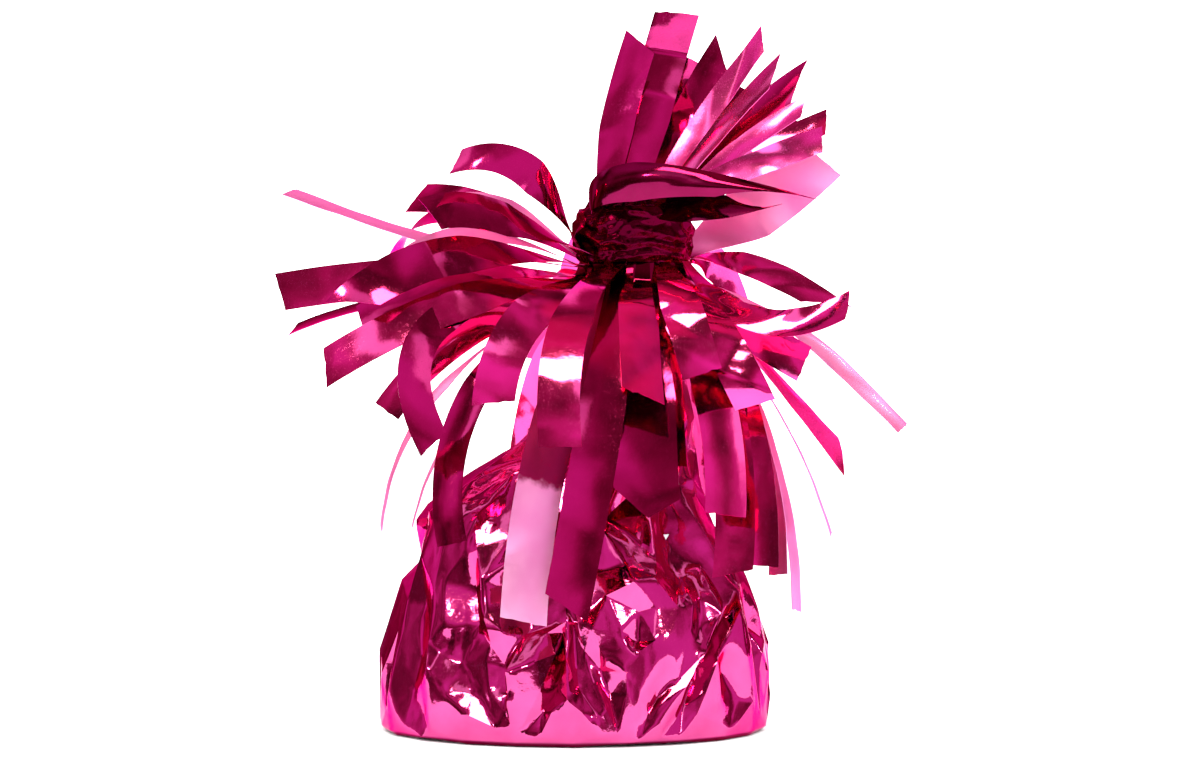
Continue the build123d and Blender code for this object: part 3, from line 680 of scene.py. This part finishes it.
def wrap_stations():
    """Length, radius, height and lean along the sheet, at even stations from the foot's edge up."""
    path = np.array(WRAP_PATH)
    length = np.concatenate([[0], np.cumsum(np.hypot(np.diff(path[:, 0]), np.diff(path[:, 1])))])
    wall = np.linspace(length[WRAP_PATH_FOOT], length[-1], WRAP_STATIONS)
    stations = np.concatenate([length[:WRAP_PATH_FOOT], wall])
    columns = [np.interp(stations, length, path[:, k]) for k in range(3)]
    for column in columns:
        column[WRAP_PATH_FOOT + 1:] = smoothed(column[WRAP_PATH_FOOT + 1:], WRAP_SMOOTH_PASSES)
    return (stations, *columns)


STATIONS, STATION_RADII, STATION_HEIGHTS, STATION_LEANS = wrap_stations()


def wall_at(height, column):
    """What a column of the stations says at a height of the wall."""
    return float(np.interp(height, STATION_HEIGHTS[WRAP_PATH_FOOT:], column[WRAP_PATH_FOOT:]))


def length_at(height):
    return wall_at(height, STATIONS)


def on_wrap(column, row):
    """Azimuth and height of the wrap's front under a pixel of the front view."""
    y = FRONT_START
    for _ in range(FRONT_ROUNDS):
        spread = (VIEW_DISTANCE + y) * PIXEL / VIEW_DISTANCE
        x = EYE_X + (column - EYE_COLUMN) * spread
        height = EYE_HEIGHT - (row - EYE_ROW) * spread
        lean = wall_at(height, STATION_LEANS)
        y = -math.sqrt(max(1.0, wall_at(height, STATION_RADII) ** 2 - (x - lean) ** 2))
    return math.atan2(y, x - lean), height


def wrap_corners():
    """The folded sheet's corners, as turn, length and stand-out, and the creases between them."""
    draw = random.Random(WRAP_SEED)
    corners, creases, known = [], [], {}

    def add(azimuth, length, out):
        corners.append((((azimuth - math.pi / 2) % (2 * math.pi)) * WRAP_TURN, length, out))
        return len(corners) - 1

    for crease in FRONT_CREASES:
        chain = []
        for column, row, out in crease:
            if (column, row) not in known:
                azimuth, height = on_wrap(column, row)
                known[column, row] = add(azimuth, length_at(height), out * FRONT_FOLD_SCALE)
            chain.append(known[column, row])
        creases += zip(chain, chain[1:])
    for azimuth, foot, top, half_width, depth in SIDE_LEAVES:
        leaf = (
            (0.0, foot, 0.0),
            (LEAF_LEFT, draw.uniform(*LEAF_LEFT_HEIGHTS) * top, LEAF_LEFT_OUT),
            (LEAF_RIGHT, draw.uniform(*LEAF_RIGHT_HEIGHTS) * top, LEAF_RIGHT_OUT),
            (draw.uniform(*LEAF_VALLEYS), draw.uniform(*LEAF_VALLEY_HEIGHTS) * top, LEAF_VALLEY_OUT),
            (draw.uniform(*LEAF_CROWNS), top, LEAF_CROWN_OUT),
        )
        tip, left, right, valley, crown = (
            add(math.radians(azimuth + side * half_width), length_at(height), out * depth)
            for side, height, out in leaf)
        creases += [(left, tip), (valley, tip), (right, tip), (crown, valley), (left, crown), (right, crown)]
    placed = np.array(corners)[:, :2]

    def row_of_corners(length, count, out, jitter=0.0, clear=False):
        """A row round the sheet, with a corner on each side of the seam, clear of the folds or not."""
        at_seam = out(0)
        corners.append((0.0, length, at_seam))
        chain = [len(corners) - 1]
        for k in range(1, count):
            turn = (k + draw.uniform(-jitter, jitter)) * WRAP_SEAM / count
            along = length + draw.uniform(-jitter, jitter) * ROW_WANDER
            stand_out = out(k)
            if not clear or np.hypot(*(placed - (turn, along)).T).min() > WALL_CORNER_GAP:
                corners.append((turn, along, stand_out))
                chain.append(len(corners) - 1)
        corners.append((WRAP_SEAM, length, at_seam))
        chain.append(len(corners) - 1)
        return chain

    def flat(_):
        return 0.0

    def smooth(_):
        return draw.uniform(-LOWEST_OUT, LOWEST_OUT)

    def crumpled(_):
        return draw.choice((-1, 1)) * draw.uniform(WALL_LEAST_SHARE, 1) * WALL_CORNER_OUT

    def pleated(size):
        return lambda k: size * (1 if k % 2 else -1) * draw.uniform(*PLEAT_SHARES)

    for share, count in FOOT_ROWS:
        row_of_corners(STATIONS[1] * share, count, flat)
    for station in STATIONS[1:WRAP_PATH_FOOT + 1]:
        edge = row_of_corners(station, FOOT_EDGE_CORNERS, flat)
        creases += zip(edge, edge[1:])
    lowest, *others = WALL_ROWS
    row_of_corners(length_at(lowest), WALL_CORNERS, smooth, LOWEST_JITTER, clear=True)
    for height in others:
        row_of_corners(length_at(height), WALL_CORNERS, crumpled, WALL_JITTER, clear=True)
    below = []
    for height, size in PLEAT_ROWS:
        row = row_of_corners(length_at(height), PLEAT_CORNERS, pleated(size), PLEAT_JITTER)
        creases += zip(below, row)
        below = row
    return corners, creases


def make_wrap():
    """The sheet of film: a net of flat folds, from the middle of its foot up to the gathered neck."""
    draw = random.Random(FOLD_SEED)
    corners, creases = wrap_corners()
    flat = [Vector(corner[:2]) for corner in corners]
    places, edges, faces, sources, edge_sources, _ = delaunay_2d_cdt(flat, creases, [], 0, NET_TOLERANCE)
    outs = [corners[source[0]][2] if source else None for source in sources]
    for number, out in enumerate(outs):
        if out is None:
            beside = [outs[a + b - number] for a, b in edges if number in (a, b)]
            beside = [other for other in beside if other is not None]
            outs[number] = sum(beside) / len(beside)
    turn, length = np.array(places).T
    azimuth = turn / WRAP_TURN + math.pi / 2
    sink = WALL_SINK * np.interp(length, [length_at(z) for z in WALL_SINK_ROWS], (0, 1, 1, 0))
    outs = np.array(outs) - sink * np.abs(np.sin(azimuth)) ** WALL_SINK_POWER
    radius, height, lean = (np.interp(length, STATIONS, column)
                            for column in (STATION_RADII, STATION_HEIGHTS, STATION_LEANS))
    rise = np.interp(length, STATIONS, np.gradient(STATION_HEIGHTS, STATIONS))
    run = np.interp(length, STATIONS, np.gradient(STATION_RADII, STATIONS))
    right = np.clip(np.cos(azimuth), 0, 1) ** SHOULDER_POWER
    left = np.clip(-np.cos(azimuth), 0, 1) ** SHOULDER_POWER
    shoulder = np.exp(-((height - SHOULDER_HEIGHT) / SHOULDER_REACH) ** 2)
    radius = radius + (LEFT_SHOULDER_OUT * left - RIGHT_SHOULDER_IN * right) * shoulder
    radius = np.maximum(radius + outs * rise, 0)
    height = np.maximum(height - outs * run, LEAST_HEIGHT)
    shape = np.stack([lean + radius * np.cos(azimuth), radius * np.sin(azimuth), height], axis=1) * MM
    mesh = bpy.data.meshes.new("wrap_film")
    mesh.from_pydata([tuple(place) for place in shape], edges, faces)
    piece = bpy.data.objects.new("wrap_film", mesh)
    bpy.context.scene.collection.objects.link(piece)
    sharpness = [1.0 if source else draw.choice(FOLD_SHARPNESS) for source in edge_sources]
    mesh.attributes.new("crease_edge", "FLOAT", "EDGE").data.foreach_set("value", sharpness)
    edit_mesh(piece, close_seam, face_outwards)
    apply_modifier(piece, "SUBSURF", levels=WRAP_LEVELS, render_levels=WRAP_LEVELS)
    wrinkle_film(piece)
    film_piece(piece, wrap_finish, INWARDS, WRAP_SMOOTH_ANGLE)
    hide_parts("foil_wrap", "gathered_stem")
    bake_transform(piece)


def wrinkle_film(piece):
    """Fine wrinkles between the creases, larger where the film is crushed."""
    mesh = piece.data
    places, normals = np.empty(3 * len(mesh.vertices)), np.empty(3 * len(mesh.vertices))
    mesh.vertices.foreach_get("co", places)
    mesh.vertices.foreach_get("normal", normals)
    places, normals = places.reshape(-1, 3) / MM, normals.reshape(-1, 3)
    drawn_up = [Vector((x, y, z * WRINKLE_DRAW)) for x, y, z in places]
    fine = crumpled_at(drawn_up, WRINKLE_LEVEL, WRINKLE_REACHES)
    size = WRINKLE_SIZE * np.clip(places[:, 2] - WRINKLE_START, 0, 1)
    for column, row, reach in CRUSHED_SPOTS:
        azimuth, height = on_wrap(column, row)
        radius, lean = wall_at(height, STATION_RADII), wall_at(height, STATION_LEANS)
        centre = np.array([lean + radius * math.cos(azimuth), radius * math.sin(azimuth), height])
        size += CRUSHED_SIZE * np.exp(-(np.linalg.norm(places - centre, axis=1) / reach) ** 2)
    shape_grid(piece, places + normals * (fine * size)[:, None])


# Neck: radius and height along each tube
HEADER_PROFILE = [(6.6, 73.0), (7.1, 73.6), (7.2, 76.0), (7.3, 78.6), (7.2, 79.3)]
BAND_PROFILE = [
    (8.0, 78.4), (8.9, 78.0), (9.5, 79.0), (9.9, 80.8), (10.1, 82.8),
    (9.9, 84.8), (9.5, 86.3), (9.0, 87.1), (8.6, 87.0),
]
ROOT_PROFILE = [(6.0, 84.6), (7.6, 85.6), (7.9, 87.4), (7.4, 88.6), (6.4, 89.2), (4.0, 89.0), (0.0, 88.8)]
TUBE_COLUMNS, TUBE_ROWS_PER_POINT = 220, 8
TUBE_SMOOTH_ANGLE = 45
# Noise of the tubes: the radius it is read at, the steps from tube to tube, the wander of the ripples, and
# the level and reaches of the lumps
TUBE_NOISE_RADIUS, TUBE_NOISE_STEP = 8, 20
RIPPLE_WANDER, RIPPLE_WANDER_REACH = 1.2, 5
LUMP_LEVEL, LUMP_REACHES = 0.35, (3.2, 1.6)
# Ripples and lumps die out over one part in this many at each end
TUBE_END_PARTS = 6


def make_tube(name, profile, ripple, ripple_count, slope, crush, seed):
    """A crushed film tube round the neck along a profile, with ripples that climb by a slope, in near-black
    tones of painted shade.
    """
    piece, around, along = new_grid(name, TUBE_COLUMNS, len(profile) * TUBE_ROWS_PER_POINT)
    path = np.array(profile)
    at = along * (len(profile) - 1)
    radius = np.interp(at, range(len(profile)), smoothed(path[:, 0], 1))
    height = np.interp(at, range(len(profile)), path[:, 1])
    azimuth = around * 2 * math.pi
    spots = [Vector((TUBE_NOISE_RADIUS * math.cos(a), TUBE_NOISE_RADIUS * math.sin(a),
                     h + TUBE_NOISE_STEP * seed)) for a, h in zip(azimuth, height)]
    wander = RIPPLE_WANDER * np.array([noise.noise(spot / RIPPLE_WANDER_REACH) for spot in spots])
    lumps = crumpled_at(spots, LUMP_LEVEL, LUMP_REACHES)
    # A ripple runs straight from -0.5 to 0.5 and back
    fold = np.abs(np.mod(around * ripple_count + height * slope + wander, 1) - 0.5) * 2 - 0.5
    end = np.clip(np.minimum(along, 1 - along) * TUBE_END_PARTS, 0, 1)
    radius = radius + (ripple * fold + crush * lumps) * end
    places = np.stack([NECK_OFFSET + radius * np.cos(azimuth), radius * np.sin(azimuth), height], axis=1)
    shape_grid(piece, places)
    edit_mesh(piece, close_seam, face_outwards)
    return film_piece(piece, knot_shade_finish, INWARDS, TUBE_SMOOTH_ANGLE)


def make_neck():
    header = make_tube("fringe_header_film", HEADER_PROFILE,
                       ripple=0.3, ripple_count=24, slope=0.0, crush=0.2, seed=1)
    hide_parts("fringe_header")
    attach(header, "head")
    band = make_tube("binding_band_film", BAND_PROFILE,
                     ripple=0.55, ripple_count=2, slope=0.34, crush=0.9, seed=2)
    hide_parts("binding_band")
    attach(band, "head")
    root = make_tube("plume_root_film", ROOT_PROFILE,
                     ripple=0.7, ripple_count=17, slope=0.0, crush=0.4, seed=3)
    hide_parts("plume_root")
    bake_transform(root)


def finish_inner_nodes():
    for node, finish in (("base_card", card_finish), ("ballast_tub", tub_finish),
                         ("cement_fill", cement_finish), ("tie_wire", wire_finish)):
        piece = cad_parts[node]
        if not piece.material_slots:
            piece.data.materials.append(finish)
        for slot in piece.material_slots:
            slot.material = finish


# Studio, in metres
FLOOR_RADIUS, FLOOR_SIDES = 2.5, 96
FLOOR_TONES, FLOOR_CLOUD_SIZE, FLOOR_ROUGHNESS = ((0.86, 0.86, 0.87), (0.90, 0.90, 0.90)), 0.4, 0.6
# What the film mirrors: white panels and the share of the way up that they fill, the edge of the ceiling,
# the drift of the room's brightness, how bright each is, and the room's dimmer and brighter tones
PANEL_COUNT, PANEL_EDGES = 5, (0.74, 0.96)
PANEL_STOPS = ((0.0, 0.0), (0.46, 0.0), (0.56, 1.0), (0.82, 1.0), (0.90, 0.0), (1.0, 0.0))
CEILING_EDGES = (0.93, 0.99)
DRIFT_SIZE, DRIFT_EDGES, DRIFT_LEVELS = 0.62, (0.30, 0.70), (0.08, 0.94)
PANEL_GLOW, CEILING_GLOW, GROUND_GLOW = 0.9, 0.5, 1.8
ROOM_TONES = (1.0, 0.04, 0.22), (1.0, 0.19, 0.84)
WHITE = (1.0, 1.0, 1.0)
WHITE_ROOM_GLOW = 3.0
# Name, place, size and power of each lamp
STUDIO_LAMPS = (
    ("key_high", (-0.24, -0.42, 1.04), 0.30, 5.0),
    ("key_left", (-0.62, -0.72, 0.62), 0.09, 1.4),
    ("fill_right", (0.80, -0.65, 0.55), 0.09, 1.4),
    ("rim_left", (-0.8, 0.7, 0.6), 0.12, 2.0),
    ("rim_right", (0.7, 0.8, 0.7), 0.12, 2.0),
)
LAMP_COLOUR, LAMP_AIM = (1.0, 0.97, 0.60), Vector((0.0, 0.0, 0.05))
CAMERA_LENS, CAMERA_SENSOR = 100.0, 36.0


def make_floor():
    bpy.ops.object.select_all(action="DESELECT")
    bpy.ops.mesh.primitive_circle_add(vertices=FLOOR_SIDES, radius=FLOOR_RADIUS, fill_type="NGON")
    floor = bpy.context.object
    floor.name = "studio_floor"
    material, paint = new_finish("pale_floor")
    place = paint.node("ShaderNodeTexCoord", output="Object")
    tone = paint.between(paint.speckle(place, FLOOR_CLOUD_SIZE), *FLOOR_TONES)
    surface = paint.node("ShaderNodeBsdfPrincipled", {}, {"Base Color": tone, "Roughness": FLOOR_ROUGHNESS})
    paint.node("ShaderNodeOutputMaterial", {}, {"Surface": surface})
    floor.data.materials.append(material)


def make_studio_light():
    """A white room for the eye and the floor; the film mirrors a pink one with white panels and ground."""
    world = bpy.data.worlds.new("white_studio")
    bpy.context.scene.world = world
    world.use_nodes = True
    studio = Finish(world.node_tree)
    way = studio.node("ShaderNodeTexCoord", output="Generated")
    east, north, up = (studio.axis(way, name) for name in "XYZ")
    turn = north.sum("ARCTAN2", north, east)
    waves = turn.sum("SINE", PANEL_COUNT * turn, 0.0)
    tall = studio.node("ShaderNodeValToRGB", {"stops": PANEL_STOPS}, {0: up})
    panels = studio.rise(waves, PANEL_EDGES) * tall
    ceiling = studio.rise(up, CEILING_EDGES)
    drift = studio.rise(studio.speckle(way, DRIFT_SIZE), DRIFT_EDGES, DRIFT_LEVELS)
    ground = up < 0.0
    bright = drift + PANEL_GLOW * panels + CEILING_GLOW * ceiling + GROUND_GLOW * ground
    tint = studio.between(panels + ground, studio.between(drift, *ROOM_TONES), WHITE)
    room = studio.node("ShaderNodeBackground", {}, {"Color": tint, "Strength": bright})
    white = studio.node("ShaderNodeBackground", {}, {"Color": (*WHITE, 1.0), "Strength": WHITE_ROOM_GLOW})
    mirrored = studio.node("ShaderNodeLightPath", output="Is Glossy Ray")
    both = studio.node("ShaderNodeMixShader", {}, {0: mirrored, 1: white, 2: room})
    studio.node("ShaderNodeOutputWorld", {}, {"Surface": both})
    for name, place, size, power in STUDIO_LAMPS:
        bpy.ops.object.light_add(type="AREA", location=place)
        lamp = bpy.context.object
        lamp.name = name
        lamp.data.shape = "SQUARE"
        lamp.data.size = size
        lamp.data.energy = power
        lamp.data.color = LAMP_COLOUR
        lamp.visible_camera = False
        lamp.visible_diffuse = False
        aim = LAMP_AIM - Vector(place)
        lamp.rotation_euler = aim.to_track_quat("-Z", "Y").to_euler()


def make_camera():
    bpy.ops.object.camera_add(location=(EYE_X * MM, -VIEW_DISTANCE * MM, EYE_HEIGHT * MM),
                              rotation=(math.radians(90), 0, 0))
    camera = bpy.context.object
    camera.data.lens = CAMERA_LENS
    camera.data.sensor_width = CAMERA_SENSOR
    bpy.context.scene.camera = camera


make_camera()
make_floor()
make_studio_light()
bpy.context.scene.view_settings.view_transform = "Standard"
make_wrap()
make_neck()
make_skirt()
make_plume()
finish_inner_nodes()
